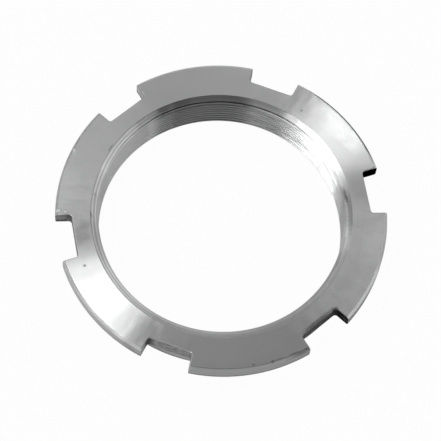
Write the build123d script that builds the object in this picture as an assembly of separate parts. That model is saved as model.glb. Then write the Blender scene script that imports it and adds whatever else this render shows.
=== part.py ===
from build123d import *
import math
import os

# Slotted axle nut, turned in one piece from steel bar.
# It lies on the back face of its hub, with the slotted flange and the front face up.
# Millimetres. The origin is on the nut's axis at the back face, and +Z leaves the front face.

# Thread. The solid has a plain bore at the thread's minor diameter.
thread_diameter = 75.0
thread_pitch = 1.5
thread_angle = 60.0
thread_depth_share = 0.625

# Turned body, outwards from the thread and up from the back face
hub_wall = 5.0
flange_reach = 7.0
nut_height = 15.0
flange_thickness = 5.2
hub_fillet_radius = 3.5

# Countersink at the front of the bore and edge break at its back, each wider than the thread
front_mouth_clearance = 3.2
front_countersink_angle = 120.0
back_mouth_clearance = 0.6

# Edges turned on the lathe
rim_front_chamfer = 0.8
rim_back_chamfer = 0.4
hub_back_chamfer = 1.0

# Spanner slots milled through the flange
slot_count = 6
slot_floor_width = 13.5
slot_depth = 5.3
slot_flare_angle = 8.0
slot_corner_radius = 0.9
slot_edge_break = 0.25
cutter_overrun = 2.0

# Radii and heights that follow from the sizes above
thread_triangle_height = thread_pitch / 2 / math.tan(math.radians(thread_angle / 2))
bore_radius = thread_diameter / 2 - thread_depth_share * thread_triangle_height
hub_radius = thread_diameter / 2 + hub_wall
outer_radius = hub_radius + flange_reach
front_mouth_radius = (thread_diameter + front_mouth_clearance) / 2
back_mouth_radius = (thread_diameter + back_mouth_clearance) / 2
front_half_angle = math.radians(front_countersink_angle / 2)
front_countersink_depth = (front_mouth_radius - bore_radius) / math.tan(front_half_angle)
back_countersink_depth = back_mouth_radius - bore_radius
flange_back_height = nut_height - flange_thickness
slot_floor_distance = outer_radius - slot_depth


def turned_section():
    """Half section of the nut, in the XZ plane."""
    with BuildSketch(Plane.XZ) as section:
        with BuildLine():
            hub_side = Polyline(
                (bore_radius, back_countersink_depth),
                (back_mouth_radius, 0),
                (hub_radius - hub_back_chamfer, 0),
                (hub_radius, hub_back_chamfer),
                (hub_radius, flange_back_height - hub_fillet_radius),
            )
            fillet_end = (hub_radius + hub_fillet_radius, flange_back_height)
            TangentArc(hub_side @ 1, fillet_end, tangent=(0, 1))
            Polyline(
                fillet_end,
                (outer_radius - rim_back_chamfer, flange_back_height),
                (outer_radius, flange_back_height + rim_back_chamfer),
                (outer_radius, nut_height - rim_front_chamfer),
                (outer_radius - rim_front_chamfer, nut_height),
                (front_mouth_radius, nut_height),
                (bore_radius, nut_height - front_countersink_depth),
                (bore_radius, back_countersink_depth),
            )
        make_face()
    return section.sketch


def slot_outline():
    """Plan of one spanner slot: a flat floor, rounded corners and walls that open outwards."""
    reach = outer_radius + cutter_overrun
    floor_half_width = slot_floor_width / 2
    opening = (reach - slot_floor_distance) * math.tan(math.radians(slot_flare_angle))
    with BuildSketch(Plane.XY) as outline:
        with BuildLine():
            Polyline(
                (slot_floor_distance, -floor_half_width),
                (reach, -floor_half_width - opening),
                (reach, floor_half_width + opening),
                (slot_floor_distance, floor_half_width),
                close=True,
            )
        make_face()
        floor_corners = outline.vertices().group_by(Axis.X)[0]
        fillet(floor_corners, slot_corner_radius)
    return outline.sketch


def front_slot_edges(nut):
    """Edges between the slots and the front face, without the rim's own edges."""
    front_edges = nut.faces().sort_by(Axis.Z)[-1].outer_wire().edges()
    rim_edge_radius = outer_radius - rim_front_chamfer
    return [edge for edge in front_edges if edge.geom_type == GeomType.LINE or edge.radius < rim_edge_radius]


def make_nut():
    """The turned ring with its slots milled and their front edges broken."""
    with BuildPart() as nut:
        add(turned_section())
        revolve(axis=Axis.Z)
        with PolarLocations(0, slot_count):
            add(slot_outline())
        extrude(amount=nut_height, mode=Mode.SUBTRACT)
        fillet(front_slot_edges(nut.part), slot_edge_break)
    return nut.part


os.makedirs("parts", exist_ok=True)
export_step(make_nut(), "parts/slotted_nut.step")
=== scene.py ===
import math

import bmesh
import bpy
from mathutils import Matrix, Vector


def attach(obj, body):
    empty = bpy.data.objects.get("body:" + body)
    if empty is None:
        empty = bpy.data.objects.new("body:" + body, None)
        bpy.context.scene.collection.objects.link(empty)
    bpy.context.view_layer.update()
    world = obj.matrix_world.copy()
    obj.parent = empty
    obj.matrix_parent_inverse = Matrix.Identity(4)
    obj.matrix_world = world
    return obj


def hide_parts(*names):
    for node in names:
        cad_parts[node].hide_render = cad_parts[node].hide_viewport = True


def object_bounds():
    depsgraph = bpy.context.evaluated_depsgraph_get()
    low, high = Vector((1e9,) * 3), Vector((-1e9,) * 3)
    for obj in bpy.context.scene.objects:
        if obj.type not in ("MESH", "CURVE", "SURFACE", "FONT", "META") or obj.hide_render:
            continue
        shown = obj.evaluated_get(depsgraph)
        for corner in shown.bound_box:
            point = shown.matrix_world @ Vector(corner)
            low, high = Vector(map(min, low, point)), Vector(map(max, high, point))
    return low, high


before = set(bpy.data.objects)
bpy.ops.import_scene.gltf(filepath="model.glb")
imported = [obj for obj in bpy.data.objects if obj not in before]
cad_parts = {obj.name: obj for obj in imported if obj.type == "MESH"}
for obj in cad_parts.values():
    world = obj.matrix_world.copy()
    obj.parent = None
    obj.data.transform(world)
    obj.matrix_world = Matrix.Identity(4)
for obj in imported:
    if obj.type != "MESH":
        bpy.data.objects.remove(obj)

cad_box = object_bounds()

# Slotted axle nut: a turned ring with milled spanner slots and a fine right-hand thread.
# Lengths are in millimetres, and MM turns them into metres.
MM = 0.001

# Thread
thread_diameter = 75.0
thread_pitch = 1.5
thread_angle = math.radians(60)
thread_depth_share = 0.625
thread_root_share = 0.125
thread_crest_share = 0.25

# Turned body, outwards from the thread and up from the back face
hub_wall = 5.0
flange_reach = 7.0
nut_height = (cad_box[1].z - cad_box[0].z) / MM
flange_thickness = 5.2
hub_fillet_radius = 3.5
front_mouth_clearance = 3.2
front_countersink_angle = math.radians(120)
back_mouth_clearance = 0.6
rim_front_chamfer = 0.8
rim_back_chamfer = 0.4
hub_back_chamfer = 1.0

# Spanner slots
slot_count = 6
slot_floor_width = 13.5
slot_depth = 5.3
slot_flare = math.radians(8)
slot_corner_radius = 0.9
slot_edge_break = 0.25
cutter_overrun = 1.0

# Rounding that the lathe tool and the deburring leave on the turned corners
mouth_rounding = 0.12
rim_rounding = 0.3
small_rounding = 0.12

# Fineness of the mesh
columns = 480
arc_steps = 4
longest_arc_step = 0.3
corner_steps = 8
flank_steps = 4
sharp_angle = math.radians(34)
weld_distance = 0.002 * MM
cone_tolerance = 0.01

# Radii and heights that follow
thread_triangle = thread_pitch / 2 / math.tan(thread_angle / 2)
major_radius = thread_diameter / 2
bore_radius = major_radius - thread_depth_share * thread_triangle
hub_radius = major_radius + hub_wall
outer_radius = hub_radius + flange_reach
front_mouth_radius = major_radius + front_mouth_clearance / 2
back_mouth_radius = major_radius + back_mouth_clearance / 2
front_depth = (front_mouth_radius - bore_radius) / math.tan(front_countersink_angle / 2)
back_depth = back_mouth_radius - bore_radius
flange_back = nut_height - flange_thickness
slot_floor = outer_radius - slot_depth

# Steel. TURNED and the rest are the nut's material slots. A spread is the share of itself by which a colour
# or a roughness goes up and down.
TURNED, MILLED, THREAD_CUT, EDGE_BREAK, COUNTERSINK = range(5)
steel_colour = (0.600, 0.606, 0.603)
thread_colour = (0.570, 0.576, 0.573)
edge_colour = (0.42, 0.42, 0.42)
milled_colour = (0.60, 0.60, 0.60)
steel_roughness = 0.308
thread_roughness = 0.3
edge_roughness = 0.35
milled_roughness = 0.45
turned_colour_spread = 0.07
turned_roughness_spread = 0.08
edge_colour_spread = 0.15
edge_roughness_spread = 0.2
milled_roughness_spread = 0.2

# Sheen of the turned steel: drawn out in full, and turned by a quarter so that it lies across the lines
sheen_stretch = 1.0
sheen_rotation = 0.25

# Noises. Most of a noise's values lie between low and high. A pattern is its features in a millimetre and
# its detail.
noise_low = 0.3
noise_high = 0.7
stains = (0.09, 3.0)
file_marks = (2.0, 2.0)
file_mark_depth = 0.02

# Lines and waves round the axis: depth, features in a radian round it, features in a millimetre across it,
# and detail. The ring waves' depth is how far they shift the tool rings.
face_lines = (0.001, 3.0, 2.5, 1.0)
countersink_lines = (0.001, 3.0, 1.6, 1.0)
face_waves = (0.10, 9.0, 0.12, 4.0)
thread_waves = (0.36, 3.0, 0.55, 1.5)
countersink_waves = (0.12, 9.0, 0.3, 3.0)
ring_waves = (0.1, 4.0, 0.6, 2.0)

# The thread is wavy on the nut's right. A turn is a direction from the axis, in degrees from +X, and a fade
# is the cosines of the angle from it at which a change starts and is complete.
thread_waves_turn = 38
thread_waves_fade = (0.4, 0.7)

# Marks: middle x and y, length, width, direction of the length in degrees from +X, and how much darker the
# steel is there. Where that is under 0, it is brighter.
face_marks = [
    (-42.79, -9.90, 1.0, 0.8, 0, 0.75),
    (29.95, 29.57, 0.8, 0.7, 0, 0.6),
    (0.71, -48.08, 0.9, 0.6, 0, 0.45),
    (6.32, -48.07, 1.2, 0.7, 5, 0.5),
    (8.60, -47.55, 2.6, 0.4, 8, 0.25),
    (13.10, -46.60, 3.4, 0.5, 14, 0.35),
    (16.90, -45.70, 2.4, 0.4, 18, 0.3),
    (22.00, -37.95, 12.5, 1.5, 30, 0.55),
    (27.30, -35.30, 2.6, 1.6, 10, 0.55),
    (-29.25, 26.35, 2.7, 0.4, 49, 0.5),
]
# The first two countersink marks are painted shade in dark bands on its right; the others are dark ticks.
countersink_marks_and_shade = [
    (37.75, 0.00, 5.6, 1.0, 93, 0.6),
    (38.31, -6.20, 15.0, 3.0, 81, 0.32),
    (-38.40, 6.00, 2.4, 0.6, 90, 0.55),
    (-36.20, 12.30, 1.2, 0.5, 72, 0.3),
]
# Painted shadows in the inner corners of two slots
wall_painted_shadows = [
    (-28.50, -35.10, 4.0, 3.4, 0, 0.9),
    (28.60, -35.80, 3.4, 2.2, 0, 0.45),
]
scratches = [
    (40.85, 20.80, 5.2, 0.45, 94, -0.15),
]
# Nicks: torn steel, rough and standing up a little, whose brighter colour is a painted glint
nicks_and_painted_glints = [
    (-47.75, 8.75, 1.1, 1.0, 20, -0.65),
    (-45.80, 7.95, 0.8, 0.6, 10, -0.65),
    (-40.15, 27.46, 0.9, 0.9, 60, -0.65),
]

# The nicks' torn steel stands up a little and is rougher.
nick_height = 0.15
nick_roughness = 0.62

# Outline of a mark: where it is half faded, how softly it fades and how uneven it is, as shares of its size,
# and the pattern of its unevenness
mark_reach = 0.85
mark_softness = 0.35
mark_unevenness = 0.4
mark_outline = (3.0, 2.0)

# Painted sheen: patches where the turned face's colour is darker or lighter for a weaker or stronger sheen:
# turn, radius, length round the axis, width, and how much darker the steel is there
painted_sheen_patches = [
    (5, 42.0, 13, 5.5, 0.13),
    (23, 47.0, 8, 6.0, -0.10),
    (30, 46.5, 19, 7.0, -0.19),
    (47, 44.0, 5.5, 14, 0.15),
    (160, 47.0, 17, 6.0, -0.10),
    (180.5, 42.0, 8.5, 7.0, 0.24),
    (192, 46.0, 6, 7, -0.12),
    (228, 44.0, 7.0, 14, 0.25),
    (321, 41.5, 10, 5.0, 0.10),
    (338, 46.5, 14, 7.0, -0.11),
]
painted_sheen_softness = 0.45
painted_sheen_outline = (0.22, 2.0)

# Painted sheen on parts of the bore: turn, half of their angle, and how much darker they are painted. They
# fade round the ends of that angle, from the first share of it to the second.
thread_painted_sheen = [
    (7, 9, -0.2),
    (86.5, 17, 0.15),
    (110, 6.5, -0.35),
    (135, 13, 0.13),
    (300, 17, -0.10),
]
countersink_painted_sheen = [
    (98, 4, 0.12),
    (109, 6.5, -0.35),
    (153, 7, -0.18),
    (182, 10, 0.06),
    (211, 15, -0.13),
]
sector_shares = (1.25, 0.75)

# Tool rings on the front countersink, whose lighter and darker bands are painted highlights: radius and
# shade, which is a share of the steel's brightness. The left ones show most on the nut's left, the far ones
# beside the thread on its far side, and the near ones on its near side. Each set has a turn and a fade, and
# its shades are stored as shares of the brightest.
left_ring_highlights = [
    (37.30, 1.0),
    (37.60, 1.4),
    (37.85, 0.85),
    (38.20, 0.85),
    (38.50, 1.35),
    (38.80, 0.85),
    (39.05, 0.6),
]
far_ring_highlights = [
    (36.80, 1.3),
    (36.95, 2.0),
    (37.08, 1.0),
    (37.20, 0.15),
    (37.36, 0.15),
    (37.54, 1.0),
    (38.00, 1.0),
    (38.40, 0.83),
    (38.75, 0.93),
    (39.05, 0.8),
]
near_ring_highlights = [
    (37.20, 1.0),
    (37.45, 1.35),
    (37.70, 1.3),
    (38.00, 1.08),
    (38.30, 1.05),
    (38.60, 1.0),
    (39.05, 0.97),
]
ring_highlight_sets = [
    (left_ring_highlights, 168, (0.0, 0.75)),
    (far_ring_highlights, 78, (0.3, 0.9)),
    (near_ring_highlights, 302, (0.0, 0.75)),
]
brightest_ring = 2.0

# The countersink has less light on its near side.
dim_countersink_turn = 250
dim_countersink_fade = (0.5, 0.9)
dim_countersink_shade = 0.76

# Painted shade in the thread's roots on the far side. It starts and is thickest at these distances from the
# root.
root_shade_turn = 75
root_shade_fade = (0.6, 0.8)
root_painted_shade = 0.1
root_shade_start = 0.45
root_shade_full = 0.1

# Rim, with painted light and shade: shades of its front chamfer and of its side, which is darkest at the
# near right, and the width over which one shade passes into the next
chamfer_painted_light = 1.15
rim_side_painted_shade = 0.84
darkest_rim_painted_shade = 0.55
darkest_rim_turn = 316
darkest_rim_fade = (0.85, 0.98)
rim_blend = 0.1

# Painted shade in the corner under the flange and round the foot of the hub: shade, and the heights between
# which it thins out
corner_painted_shade = 0.4
corner_above = (flange_back + 0.3, flange_back + 1.8)
corner_below = (flange_back - 1.0, flange_back - hub_fillet_radius)
foot_painted_shade = 0.35
foot_heights = (0.8, 2.4)

# Painted dark reflection on the front edge of the rim, to either side of one direction
edge_reflection_turn = 29
edge_reflection_half_angle = 19
edge_reflection_width = 0.55
edge_reflection_depth = 0.8
edge_reflection_darkness = 0.95

# Milled slot walls. Painted shade darkens them more and more towards the right, at the far left, and where
# they meet the flange's back. Places across the nut are x as a share of its outer radius.
wall_shade_across = (-0.2, 0.93)
right_wall_painted_shades = (0.97, 0.0)
left_wall_shade_across = (-1.0, -0.6)
left_wall_painted_shade = 0.53
wall_foot_height = 1.6
wall_foot_reach = 1.0
wall_foot_painted_darkness = 0.7
mottle = (0.7, 4.0)
mottle_shades = (0.5, 1.4)
cutter_tears = (0.9, 3.0)
cutter_tear_squeeze = (1, 1, 2.5)
cutter_tear_depth = 0.08

# Painted light: one slot wall is brighter than the others, and those on the left are brighter at their outer
# end.
lit_wall_turn = 112
lit_wall_fade = (0.97, 0.99)
other_walls_painted_shade = 0.6
bright_end_radii = (45.8, 48.0)
bright_end_across = (-0.5, -0.3)
bright_end_gain = 0.8

BLACK = (0, 0, 0)
WHITE = (1, 1, 1)


class Tree:
    """Adds nodes to a material or a world, and links values that come from other nodes."""

    def __init__(self, holder):
        self.holder = holder
        holder.use_nodes = True
        holder.node_tree.nodes.clear()

    def node(self, kind, inputs=None, **settings):
        made = self.holder.node_tree.nodes.new(kind)
        for name, value in settings.items():
            setattr(made, name, value)
        for name, value in (inputs or {}).items():
            if isinstance(value, bpy.types.NodeSocket):
                self.holder.node_tree.links.new(value, made.inputs[name])
            else:
                made.inputs[name].default_value = value
        return made

    def math(self, operation, first, second=0.0, third=0.0):
        return self.node("ShaderNodeMath", {0: first, 1: second, 2: third}, operation=operation).outputs[0]

    def product(self, first, *others):
        for other in others:
            first = self.math("MULTIPLY", first, other)
        return first

    def darkened(self, mask, darkness):
        """Shade that is 1 where a mask is 0, and darker by darkness where it is 1."""
        return self.math("MULTIPLY_ADD", mask, -darkness, 1.0)

    def vector_math(self, operation, first, second, output="Vector"):
        return self.node("ShaderNodeVectorMath", {0: first, 1: second}, operation=operation).outputs[output]

    def length(self, vector):
        return self.vector_math("LENGTH", vector, (0, 0, 0), "Value")

    def ranged(self, value, start, end, low, high):
        """Value between start and end turned into a value between low and high."""
        sizes = {"Value": value, "From Min": start, "From Max": end, "To Min": low, "To Max": high}
        return self.node("ShaderNodeMapRange", sizes).outputs["Result"]

    def spread(self, value, middle, share):
        """Value from 0 to 1 turned into a value that goes up and down from middle by a share of it."""
        return self.ranged(value, 0, 1, middle * (1 - share), middle * (1 + share))

    def tint(self, factor, dark, light):
        inputs = {"Factor": factor, "A": (*dark, 1), "B": (*light, 1)}
        return self.node("ShaderNodeMix", inputs, data_type="RGBA").outputs["Result"]

    def spread_colour(self, value, colour, share, shade):
        """Colour that goes up and down by a share of itself, times a shade."""
        dark = [channel * (1 - share) for channel in colour]
        light = [channel * (1 + share) for channel in colour]
        scaling = {0: self.tint(value, dark, light), "Scale": shade}
        return self.node("ShaderNodeVectorMath", scaling, operation="SCALE").outputs[0]

    def bump(self, height, depth, normal=None):
        """Bump by a height from 0 to 1 that stands for a depth in millimetres."""
        inputs = {"Strength": 1.0, "Distance": depth * MM, "Height": height}
        if normal is not None:
            inputs["Normal"] = normal
        return self.node("ShaderNodeBump", inputs).outputs["Normal"]

    def finish(self, shader, output_kind="ShaderNodeOutputMaterial"):
        output = self.node(output_kind)
        self.holder.node_tree.links.new(shader.outputs[0], output.inputs["Surface"])


class SteelTree(Tree):
    """Material of the nut, with each place's direction from the axis and its x, radius and height in mm."""

    def __init__(self, name):
        super().__init__(bpy.data.materials.new(name))
        self.place = self.node("ShaderNodeTexCoord").outputs["Object"]
        flat = self.vector_math("MULTIPLY", self.place, (1, 1, 0))
        self.direction = self.vector_math("NORMALIZE", flat, (0, 0, 0))
        self.radius = self.math("DIVIDE", self.length(flat), MM)
        split = self.node("ShaderNodeSeparateXYZ", {0: self.place})
        self.x = self.math("DIVIDE", split.outputs["X"], MM)
        self.height = self.math("DIVIDE", split.outputs["Z"], MM)

    def noise(self, pattern, squeeze=(1, 1, 1)):
        """Noise of a pattern, squeezed along each axis."""
        features, detail = pattern
        where = self.vector_math("MULTIPLY", self.place, squeeze)
        inputs = {"Vector": where, "Scale": features / MM, "Detail": detail}
        return self.node("ShaderNodeTexNoise", inputs).outputs["Fac"]

    def lathe_noise(self, around, across, detail):
        """Noise with its own scale round the axis, and another for each millimetre of radius and height."""
        split = self.node("ShaderNodeSeparateXYZ", {0: self.direction})
        scaled = {
            0: self.product(split.outputs["X"], around),
            1: self.product(split.outputs["Y"], around),
            2: self.product(self.radius, across),
        }
        where = self.node("ShaderNodeCombineXYZ", scaled).outputs[0]
        inputs = {"Vector": where, "W": self.product(self.height, across), "Scale": 1.0, "Detail": detail}
        return self.node("ShaderNodeTexNoise", inputs, noise_dimensions="4D").outputs["Fac"]

    def towards(self, turn, fade, away=0.0, near=1.0):
        """Value that goes from away to near as the direction from the axis comes near a turn."""
        angle = math.radians(turn)
        aim = (math.cos(angle), math.sin(angle), 0)
        cosine = self.vector_math("DOT_PRODUCT", self.direction, aim, "Value")
        return self.ranged(cosine, fade[0], fade[1], away, near)

    def metal(self, inputs):
        """Finishes the material as a metal."""
        self.finish(self.node("ShaderNodeBsdfPrincipled", {"Metallic": 1.0, **inputs}))
        return self.holder


def uneven_outline(tree, outline):
    """Change of a mark's outline, as a share of its size."""
    return tree.ranged(tree.noise(outline), noise_low, noise_high, -mark_unevenness, mark_unevenness)


def mark_mask(tree, mark, uneven, softness):
    """1 inside a mark, fading to 0 round its uneven outline."""
    x, y, length, width, turn = mark[:5]
    layout = {
        "Vector": tree.place,
        "Location": (x * MM, y * MM, nut_height * MM),
        "Rotation": (0, 0, math.radians(turn)),
        "Scale": (length / 2 * MM, width / 2 * MM, 1),
    }
    inside = tree.node("ShaderNodeMapping", layout, vector_type="TEXTURE").outputs[0]
    reach = tree.math("ADD", tree.length(inside), uneven)
    return tree.ranged(reach, mark_reach - softness, mark_reach + softness, 1, 0)


def marks_shade(tree, marks, outline=mark_outline, softness=mark_softness):
    """Shade under a list of marks."""
    uneven = uneven_outline(tree, outline)
    shades = []
    for mark in marks:
        shades.append(tree.darkened(mark_mask(tree, mark, uneven, softness), mark[-1]))
    return tree.product(*shades)


def nicks_mask(tree):
    """1 inside the nicks, where the steel is torn and scatters the light."""
    uneven = uneven_outline(tree, mark_outline)
    mask = 0.0
    for nick in nicks_and_painted_glints:
        mask = tree.math("MAXIMUM", mask, mark_mask(tree, nick, uneven, mark_softness))
    return mask


def painted_sheen_mark(turn, radius, length, width, darkness):
    """A patch of painted sheen on the face as a mark."""
    angle = math.radians(turn)
    return (radius * math.cos(angle), radius * math.sin(angle), length, width, turn + 90, darkness)


def painted_rim_shade(tree):
    """Painted light and shade of the rim's front chamfer and side, and 1 on the face."""
    chamfer_start = outer_radius - rim_front_chamfer
    chamfer_foot = nut_height - rim_front_chamfer
    on_rim = tree.ranged(tree.radius, chamfer_start, chamfer_start + rim_blend, 0, 1)
    side = tree.towards(darkest_rim_turn, darkest_rim_fade, rim_side_painted_shade, darkest_rim_painted_shade)
    rim = tree.ranged(tree.height, chamfer_foot, chamfer_foot + rim_blend, side, chamfer_painted_light)
    return tree.math("MULTIPLY_ADD", on_rim, tree.math("SUBTRACT", rim, 1.0), 1.0)


def hub_painted_shade(tree):
    """Painted shade in the corner under the flange and round the foot of the hub."""
    above = tree.ranged(tree.height, corner_above[0], corner_above[1], corner_painted_shade, 1.0)
    below = tree.ranged(tree.height, corner_below[1], corner_below[0], 1.0, corner_painted_shade)
    foot = tree.ranged(tree.height, foot_heights[0], foot_heights[1], foot_painted_shade, 1.0)
    return tree.product(tree.math("MAXIMUM", above, below), foot)


def painted_edge_reflection(tree):
    """Painted dark reflection on the front edge of the rim."""
    reflection_start = outer_radius - edge_reflection_width
    chamfer_foot = nut_height - rim_front_chamfer
    end = math.cos(math.radians(edge_reflection_half_angle))
    within = tree.towards(edge_reflection_turn, (end, (1 + end) / 2))
    outside = tree.ranged(tree.radius, reflection_start - rim_blend, reflection_start + rim_blend, 0, 1)
    on_top = tree.ranged(tree.height, chamfer_foot - edge_reflection_depth, chamfer_foot, 0, 1)
    return tree.darkened(tree.product(within, outside, on_top), edge_reflection_darkness)


def face_shade(tree):
    """Shade of the turned faces: marks, painted glints and sheen, and painted light, shade and reflection.
    """
    sheen_patch_marks = [painted_sheen_mark(*patch) for patch in painted_sheen_patches]
    return tree.product(
        marks_shade(tree, face_marks + scratches + nicks_and_painted_glints),
        marks_shade(tree, sheen_patch_marks, painted_sheen_outline, painted_sheen_softness),
        painted_rim_shade(tree),
        hub_painted_shade(tree),
        painted_edge_reflection(tree),
    )


def painted_sheen_shade(tree, sectors):
    """Painted sheen of a list of parts of the bore."""
    shades = []
    for turn, half_angle, darkness in sectors:
        fade = [math.cos(math.radians(half_angle * share)) for share in sector_shares]
        shades.append(tree.towards(turn, fade, 1.0, 1.0 - darkness))
    return tree.product(*shades)


def ring_highlights_shade(tree, radius, rings, turn, fade):
    """Painted highlights of a set of tool rings, which fade out away from one direction."""
    first, last = rings[0][0], rings[-1][0]
    ramp = tree.node("ShaderNodeValToRGB", {"Fac": tree.ranged(radius, first, last, 0, 1)})
    stops = ramp.color_ramp.elements
    while len(stops) < len(rings):
        stops.new(1.0)
    for stop, (ring, shade) in zip(stops, rings):
        stop.position = (ring - first) / (last - first)
        stop.color = [shade / brightest_ring] * 3 + [1]
    contrast = tree.math("MULTIPLY_ADD", ramp.outputs["Color"], brightest_ring, -1.0)
    return tree.math("MULTIPLY_ADD", contrast, tree.towards(turn, fade), 1.0)


def countersink_shade(tree):
    """Shade of the front countersink: painted ring highlights, marks, painted sheen, and painted shade on
    its near side.
    """
    shift, around, across, detail = ring_waves
    uneven = tree.ranged(tree.lathe_noise(around, across, detail), noise_low, noise_high, -shift, shift)
    shifted = tree.math("ADD", tree.radius, uneven)
    rings = [ring_highlights_shade(tree, shifted, *ring_set) for ring_set in ring_highlight_sets]
    return tree.product(
        *rings,
        tree.towards(dim_countersink_turn, dim_countersink_fade, 1.0, dim_countersink_shade),
        marks_shade(tree, countersink_marks_and_shade),
        painted_sheen_shade(tree, countersink_painted_sheen),
    )


def thread_shade(tree):
    """Shade of the thread, with painted shade in its roots on the far side, and painted sheen."""
    root = tree.towards(root_shade_turn, root_shade_fade, 1.0, root_painted_shade)
    root_shading = tree.ranged(tree.radius, major_radius - root_shade_start, major_radius - root_shade_full, 1.0, root)
    return tree.product(root_shading, painted_sheen_shade(tree, thread_painted_sheen))


def turned_steel(name, colour, roughness, lines, waves, shade, waves_side=None):
    """Bright turned steel: fine lines round the axis, slight waves, and a sheen drawn out across them."""
    tree = SteelTree(name)
    fine_lines = tree.lathe_noise(*lines[1:])
    waviness = tree.lathe_noise(*waves[1:])
    if waves_side is not None:
        waviness = tree.product(waviness, tree.towards(*waves_side))
    mixed = tree.product(tree.math("ADD", fine_lines, tree.noise(stains)), 0.5)
    torn = nicks_mask(tree)
    normal = tree.bump(waviness, waves[0], tree.bump(fine_lines, lines[0]))
    plain_roughness = tree.spread(mixed, roughness, turned_roughness_spread)
    inputs = {
        "Base Color": tree.spread_colour(mixed, colour, turned_colour_spread, shade(tree)),
        "Roughness": tree.math("MULTIPLY_ADD", torn, nick_roughness, plain_roughness),
        "Anisotropic": sheen_stretch,
        "Anisotropic Rotation": sheen_rotation,
        "Normal": tree.bump(torn, nick_height, normal),
        "Tangent": tree.node("ShaderNodeTangent", direction_type="RADIAL", axis="Z").outputs["Tangent"],
    }
    return tree.metal(inputs)


def wall_painted_shade(tree, across):
    """Painted shade on the slot walls, darkest on the right and where they meet the flange's back."""
    right = tree.ranged(across, wall_shade_across[0], wall_shade_across[1], right_wall_painted_shades[0], right_wall_painted_shades[1])
    left = tree.ranged(across, left_wall_shade_across[0], left_wall_shade_across[1], left_wall_painted_shade, 1.0)
    fillet_end = hub_radius + hub_fillet_radius
    on_flange = tree.ranged(tree.radius, fillet_end, fillet_end + wall_foot_reach, 0, 1)
    foot = tree.ranged(tree.height, flange_back, flange_back + wall_foot_height, 1, 0)
    return tree.product(right, left, tree.darkened(tree.product(on_flange, foot), wall_foot_painted_darkness))


def painted_bright_end_shade(tree, across):
    """Painted light on the outer ends of the slot walls on the nut's left."""
    outer = tree.ranged(tree.radius, bright_end_radii[0], bright_end_radii[1], 0, bright_end_gain)
    on_left = tree.ranged(across, bright_end_across[0], bright_end_across[1], 1, 0)
    return tree.math("ADD", tree.product(outer, on_left), 1.0)


def milled_steel():
    """Slot walls: mottled by cutting oil and heat, torn by the cutter, and painted darker on one side of the
    nut.
    """
    tree = SteelTree("milled")
    across = tree.math("DIVIDE", tree.x, outer_radius)
    mottling = tree.noise(mottle)
    tears = tree.noise(cutter_tears, cutter_tear_squeeze)
    # Painted shade, which also darkens the walls' reflections through the specular tint
    painted_shade_on_walls = wall_painted_shade(tree, across)
    shade = tree.product(
        painted_shade_on_walls,
        tree.ranged(mottling, noise_low, noise_high, mottle_shades[0], mottle_shades[1]),
        tree.towards(lit_wall_turn, lit_wall_fade, other_walls_painted_shade, 1.0),
        painted_bright_end_shade(tree, across),
        marks_shade(tree, wall_painted_shadows),
    )
    inputs = {
        "Base Color": tree.tint(shade, BLACK, milled_colour),
        "Specular Tint": tree.tint(painted_shade_on_walls, BLACK, WHITE),
        "Roughness": tree.spread(mottling, milled_roughness, milled_roughness_spread),
        "Normal": tree.bump(tears, cutter_tear_depth),
    }
    return tree.metal(inputs)


def broken_edge_steel():
    """Deburred edges, with file marks that have no one direction."""
    tree = SteelTree("edge_break")
    filed = tree.noise(file_marks)
    shade = marks_shade(tree, face_marks)
    inputs = {
        "Base Color": tree.spread_colour(filed, edge_colour, edge_colour_spread, shade),
        "Roughness": tree.spread(filed, edge_roughness, edge_roughness_spread),
        "Normal": tree.bump(filed, file_mark_depth),
    }
    return tree.metal(inputs)


def face_steel():
    return turned_steel("turned", steel_colour, steel_roughness, face_lines, face_waves, face_shade)


def thread_steel():
    return turned_steel(
        "thread_cut",
        thread_colour,
        thread_roughness,
        face_lines,
        thread_waves,
        thread_shade,
        waves_side=(thread_waves_turn, thread_waves_fade),
    )


def countersink_steel():
    return turned_steel(
        "countersink",
        steel_colour,
        steel_roughness,
        countersink_lines,
        countersink_waves,
        countersink_shade,
    )


def nut_materials():
    """Materials of the nut, in the order of its material slots."""
    return [face_steel(), milled_steel(), thread_steel(), broken_edge_steel(), countersink_steel()]


def arc(start, corner, end, radius):
    """Points of the arc that rounds a corner of an outline, given its neighbours."""
    towards_start = (start - corner).normalized()
    towards_end = (end - corner).normalized()
    half_angle = towards_start.angle(towards_end) / 2
    centre = corner + (towards_start + towards_end).normalized() * radius / math.sin(half_angle)
    first = corner + towards_start * radius / math.tan(half_angle) - centre
    last = corner + towards_end * radius / math.tan(half_angle) - centre
    sweep = first.angle_signed(last)
    steps = max(arc_steps, round(abs(sweep) * radius / longest_arc_step))
    turned = []
    for step in range(steps + 1):
        turned.append(centre + Matrix.Rotation(-sweep * step / steps, 2) @ first)
    return turned


def turned_profile():
    """Half section of the body as (radius, height), from the front mouth outwards to the back mouth."""
    front_cone = Vector((bore_radius, nut_height - front_depth))
    back_cone = Vector((bore_radius, back_depth))
    corners = [
        (front_mouth_radius, nut_height, mouth_rounding),
        (outer_radius - rim_front_chamfer, nut_height, rim_rounding),
        (outer_radius, nut_height - rim_front_chamfer, rim_rounding),
        (outer_radius, flange_back + rim_back_chamfer, small_rounding),
        (outer_radius - rim_back_chamfer, flange_back, small_rounding),
        (hub_radius, flange_back, hub_fillet_radius),
        (hub_radius, hub_back_chamfer, small_rounding),
        (hub_radius - hub_back_chamfer, 0, small_rounding),
        (back_mouth_radius, 0, mouth_rounding),
    ]
    places = [front_cone] + [Vector(corner[:2]) for corner in corners] + [back_cone]
    profile = []
    for index, corner in enumerate(corners):
        profile += arc(places[index], places[index + 1], places[index + 2], corner[2])
    return profile


def add_vertex(mesh, radius, angle, height):
    return mesh.verts.new((radius * math.cos(angle) * MM, radius * math.sin(angle) * MM, height * MM))


def column_angle(column):
    return 2 * math.pi * column / columns


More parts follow.
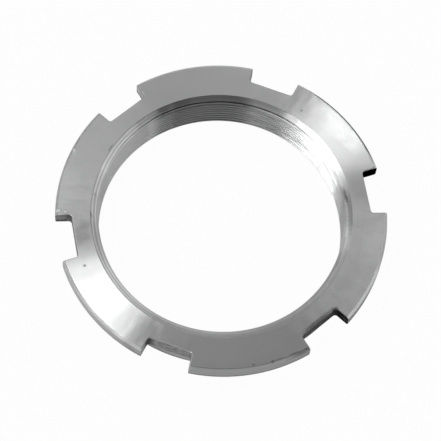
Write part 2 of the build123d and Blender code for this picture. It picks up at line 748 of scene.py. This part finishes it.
def spin_body(profile):
    """The body as a closed ring, with a plain wall in place of the thread."""
    mesh = bmesh.new()
    rings = []
    for radius, height in profile:
        rings.append([add_vertex(mesh, radius, column_angle(column), height) for column in range(columns)])
    for index, ring in enumerate(rings):
        below = rings[(index + 1) % len(rings)]
        for column in range(columns):
            following = (column + 1) % columns
            mesh.faces.new((ring[column], below[column], below[following], ring[following]))
    return mesh


def to_object(mesh, name):
    data = bpy.data.meshes.new(name)
    mesh.to_mesh(data)
    mesh.free()
    made = bpy.data.objects.new(name, data)
    bpy.context.scene.collection.objects.link(made)
    return made


def slot_outline(offset):
    """Plan of one slot, pushed outwards by offset: both walls, rounded corners and the flat floor."""
    turn = math.pi / 2 - slot_flare
    setback = slot_corner_radius * math.tan(turn / 2)
    centre = Vector((slot_floor + slot_corner_radius, slot_floor_width / 2 - setback))
    corner_radius = slot_corner_radius + offset
    reach = outer_radius + 2 * offset + cutter_overrun
    half = []
    for step in range(corner_steps + 1):
        angle = math.pi - turn * step / corner_steps
        half.append(centre + corner_radius * Vector((math.cos(angle), math.sin(angle))))
    along = (reach - half[-1].x) / math.cos(slot_flare)
    half.append(half[-1] + along * Vector((math.cos(slot_flare), math.sin(slot_flare))))
    mirrored = [Vector((point.x, -point.y)) for point in reversed(half)]
    return mirrored + half


def cutter_layers():
    """Heights of a slot cutter's layers, with how far each is pushed outwards to break the front edge."""
    layers = [(-cutter_overrun, 0.0)]
    for step in range(arc_steps + 2):
        angle = math.pi / 2 * step / (arc_steps + 1)
        height = nut_height - slot_edge_break + slot_edge_break * math.sin(angle)
        layers.append((height, slot_edge_break * (1 - math.cos(angle))))
    layers.append((nut_height + cutter_overrun, slot_edge_break))
    return layers


def make_cutter():
    """Solids of all the slots in one mesh."""
    mesh = bmesh.new()
    for slot in range(slot_count):
        turn = Matrix.Rotation(2 * math.pi * slot / slot_count, 3, "Z")
        loops = []
        for height, offset in cutter_layers():
            outline = [turn @ Vector((point.x, point.y, height)) for point in slot_outline(offset)]
            loops.append([mesh.verts.new(point * MM) for point in outline])
        for layer, (lower, upper) in enumerate(zip(loops, loops[1:])):
            for index in range(len(lower)):
                following = (index + 1) % len(lower)
                side = mesh.faces.new((lower[index], lower[following], upper[following], upper[index]))
                side.material_index = MILLED if layer == 0 else EDGE_BREAK
        mesh.faces.new(list(reversed(loops[0])))
        mesh.faces.new(loops[-1])
    bmesh.ops.recalc_face_normals(mesh, faces=mesh.faces)
    return to_object(mesh, "slot_cutter")


def cut_slots(body, materials):
    """Takes the slots out of the body. Their walls keep the cutter's material index."""
    cutter = make_cutter()
    for material in materials:
        for holder in (body, cutter):
            holder.data.materials.append(material)
    cut = body.modifiers.new("slots", "BOOLEAN")
    cut.operation = "DIFFERENCE"
    cut.solver = "EXACT"
    cut.object = cutter
    graph = bpy.context.evaluated_depsgraph_get()
    mesh = bmesh.new()
    mesh.from_object(body, graph)
    bpy.data.objects.remove(cutter)
    body.modifiers.remove(cut)
    return mesh


def remove_plain_wall(mesh):
    """Opens the body between its two mouths, where the thread goes."""
    wall = []
    for face in mesh.faces:
        heights = [vertex.co.z for vertex in face.verts]
        centre = face.calc_center_median()
        inside = math.hypot(centre.x, centre.y) < front_mouth_radius * MM
        if inside and max(heights) - min(heights) > nut_height / 2 * MM:
            wall.append(face)
    bmesh.ops.delete(mesh, geom=wall, context="FACES")


def thread_radius(phase):
    """Radius of the thread's surface at a phase from 0 to 1 along one pitch."""
    from_root = abs((phase % 1.0) - 0.5) * thread_pitch
    root_half = thread_root_share * thread_pitch / 2
    depth = (from_root - root_half) / math.tan(thread_angle / 2)
    return min(major_radius, max(bore_radius, major_radius - depth))


def front_cone_radius(height):
    return bore_radius + (height - nut_height + front_depth) * math.tan(front_countersink_angle / 2)


def bore_surface(phase, height):
    """Radius of the bore's surface: the thread, opened by the countersinks at both mouths."""
    back = bore_radius + back_depth - height
    return max(thread_radius(phase), front_cone_radius(height), back)


def row_phases():
    """Phases of the thread's rows, with rows on the corners of the profile."""
    root = thread_root_share
    crest = thread_crest_share
    flank = (1 - root - crest) / 2
    corners = [0.0, crest / 2, crest / 2 + flank, 0.5, 1 - crest / 2 - flank, 1 - crest / 2]
    steps = [1, flank_steps, 1, 1, flank_steps, 1]
    phases = []
    for start, end, count in zip(corners, corners[1:] + [1.0], steps):
        for step in range(count):
            phases.append(start + (end - start) * step / count)
    return phases


def add_bore_face(mesh, corners):
    """One face of the bore, on the front countersink or on the thread."""
    face = mesh.faces.new(corners)
    on_cone = []
    for vertex in corners:
        radius = math.hypot(vertex.co.x, vertex.co.y) / MM
        on_cone.append(radius < front_cone_radius(vertex.co.z / MM) + cone_tolerance)
    face.material_index = COUNTERSINK if all(on_cone) else THREAD_CUT


def thread_rows(mesh, front_end, back_end):
    """Rows of vertices that follow the helix, each of which rises by one pitch on its way round the bore."""
    first_turn = -2
    turns_end = math.ceil(nut_height / thread_pitch) + 1
    rows = []
    for phase in [turn + part for turn in range(first_turn, turns_end) for part in row_phases()]:
        row = []
        for column in range(columns):
            angle = column_angle(column)
            height = (phase + angle / (2 * math.pi)) * thread_pitch
            if height >= front_end[1]:
                radius, height = front_end
            elif height <= back_end[1]:
                radius, height = back_end
            else:
                radius = bore_surface(phase, height)
            row.append(add_vertex(mesh, radius, angle, height))
        rows.append(row)
    return rows


def add_thread(mesh, front_end, back_end):
    """Winds the threaded bore between the ends of the body's profile."""
    rows = thread_rows(mesh, front_end, back_end)
    per_pitch = len(row_phases())
    last = len(rows) - 1
    for index in range(last):
        row, above = rows[index], rows[index + 1]
        for column in range(columns - 1):
            add_bore_face(mesh, (row[column], above[column], above[column + 1], row[column + 1]))
        wrapped = rows[min(index + per_pitch, last)][0]
        wrapped_above = rows[min(index + 1 + per_pitch, last)][0]
        if wrapped is not wrapped_above:
            add_bore_face(mesh, (row[-1], above[-1], wrapped_above, wrapped))


def make_nut():
    profile = turned_profile()
    body = to_object(spin_body(profile), "turned_nut")
    mesh = cut_slots(body, nut_materials())
    remove_plain_wall(mesh)
    add_thread(mesh, profile[0], profile[-1])
    bmesh.ops.remove_doubles(mesh, verts=mesh.verts, dist=weld_distance)
    bmesh.ops.dissolve_degenerate(mesh, edges=mesh.edges, dist=weld_distance)
    bmesh.ops.recalc_face_normals(mesh, faces=mesh.faces)
    mesh.to_mesh(body.data)
    mesh.free()
    for polygon in body.data.polygons:
        polygon.use_smooth = True
    body.data.set_sharp_from_angle(angle=sharp_angle)
    weighted = body.modifiers.new("even normals", "WEIGHTED_NORMAL")
    weighted.keep_sharp = True
    return body


nut = make_nut()
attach(nut, "root")
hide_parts("slotted_nut")

# Floor. Its own light is what the camera and a mirror see of it besides the light that falls on it.
floor_reach = 2.0
floor_gap = 0.01
floor_colour = (0.65, 0.65, 0.65)
camera_share = 0.97
mirror_share = 0.24


def make_floor():
    mesh = bmesh.new()
    bmesh.ops.create_grid(mesh, x_segments=1, y_segments=1, size=floor_reach)
    floor = to_object(mesh, "floor")
    floor.location.z = -floor_gap * MM
    tree = Tree(bpy.data.materials.new("white_floor"))
    shaded = tree.node("ShaderNodeBsdfDiffuse", {"Color": (*floor_colour, 1)})
    plain = tree.node("ShaderNodeEmission", {"Color": (*WHITE, 1), "Strength": 1.0})
    path = tree.node("ShaderNodeLightPath")
    seen = tree.math("MAXIMUM", path.outputs["Is Camera Ray"], path.outputs["Is Transmission Ray"])
    mirrored = tree.product(path.outputs["Is Glossy Ray"], mirror_share)
    share = tree.math("MAXIMUM", tree.product(seen, camera_share), mirrored)
    tree.finish(tree.node("ShaderNodeMixShader", {0: share, 1: shaded.outputs[0], 2: plain.outputs[0]}))
    floor.data.materials.append(tree.holder)


make_floor()

# Camera, at the photograph's angle: turned about the axis, tilted off it and rolled
camera_turn = math.radians(-16.29)
camera_tilt = math.radians(22.65)
camera_roll = math.radians(6.63)
camera_distance = 660.0
camera_slide = Vector((-0.378, -2.069, camera_distance))
pixels_per_mm = 3.3614
image_width = 441
sensor_width = 36.0


def make_camera():
    turned = Matrix.Rotation(camera_turn, 3, "Z") @ Matrix.Rotation(camera_tilt, 3, "X")
    turned = turned @ Matrix.Rotation(camera_roll, 3, "Z")
    place = Vector((0, 0, nut_height)) + turned @ camera_slide
    data = bpy.data.cameras.new("camera")
    data.sensor_width = sensor_width
    data.lens = pixels_per_mm * camera_distance / image_width * sensor_width
    camera = bpy.data.objects.new("camera", data)
    camera.matrix_world = Matrix.Translation(place * MM) @ turned.to_4x4()
    bpy.context.scene.collection.objects.link(camera)
    bpy.context.scene.camera = camera


make_camera()

# Light. Lamps stand at an azimuth from +X and an elevation, in degrees, and face the nut. Their glow is what
# a mirror would show of them, where white paper in the same light shows about 1.
world_glow = 0.01
horizon_glow = 0.77
horizon_azimuth = 46
horizon_elevation = 12
horizon_falloff = 3.4
# name, azimuth, elevation, distance, width, height (metres), glow
lamps = [
    ("key_softbox", 171.4, 63.3, 1.40, 0.56, 0.46, 10.9),
    ("back_softbox", 102, 49, 0.60, 0.62, 0.46, 0.83),
    ("side_softbox", -5.2, 48.5, 1.10, 0.95, 0.50, 0.93),
    ("left_front_panel", 225, 30, 1.00, 0.60, 0.40, 1.65),
    ("left_back_panel", 150, 25, 1.00, 0.70, 0.40, 0.62),
    ("front_strip", -90, 18, 1.00, 1.00, 0.30, 1.05),
    ("right_strip", -30, 22, 1.00, 0.80, 0.35, 1.39),
]


def away_from_nut(azimuth, elevation):
    azimuth = math.radians(azimuth)
    elevation = math.radians(elevation)
    flat = math.cos(elevation)
    return Vector((math.cos(azimuth) * flat, math.sin(azimuth) * flat, math.sin(elevation)))


def make_world():
    """Dim studio, a little brighter towards the horizon behind the nut and on its right."""
    world = bpy.data.worlds.new("studio")
    bpy.context.scene.world = world
    tree = Tree(world)
    place = tree.node("ShaderNodeTexCoord").outputs["Generated"]
    bright_side = away_from_nut(horizon_azimuth, horizon_elevation)
    cosine = tree.math("MAXIMUM", tree.vector_math("DOT_PRODUCT", place, bright_side, "Value"), 0.0)
    glow = tree.math("MULTIPLY_ADD", tree.math("POWER", cosine, horizon_falloff), horizon_glow, world_glow)
    background = tree.node("ShaderNodeBackground", {"Color": (*WHITE, 1), "Strength": glow})
    tree.finish(background, "ShaderNodeOutputWorld")


def make_lamp(name, azimuth, elevation, distance, width, height, glow):
    data = bpy.data.lights.new(name, "AREA")
    data.shape = "RECTANGLE"
    data.size = width
    data.size_y = height
    data.energy = glow * math.pi * width * height
    lamp = bpy.data.objects.new(name, data)
    away = away_from_nut(azimuth, elevation)
    lamp.location = away * distance
    lamp.rotation_euler = away.to_track_quat("Z", "Y").to_euler()
    bpy.context.scene.collection.objects.link(lamp)


make_world()
for lamp in lamps:
    make_lamp(*lamp)

bpy.context.scene.view_settings.view_transform = "Standard"
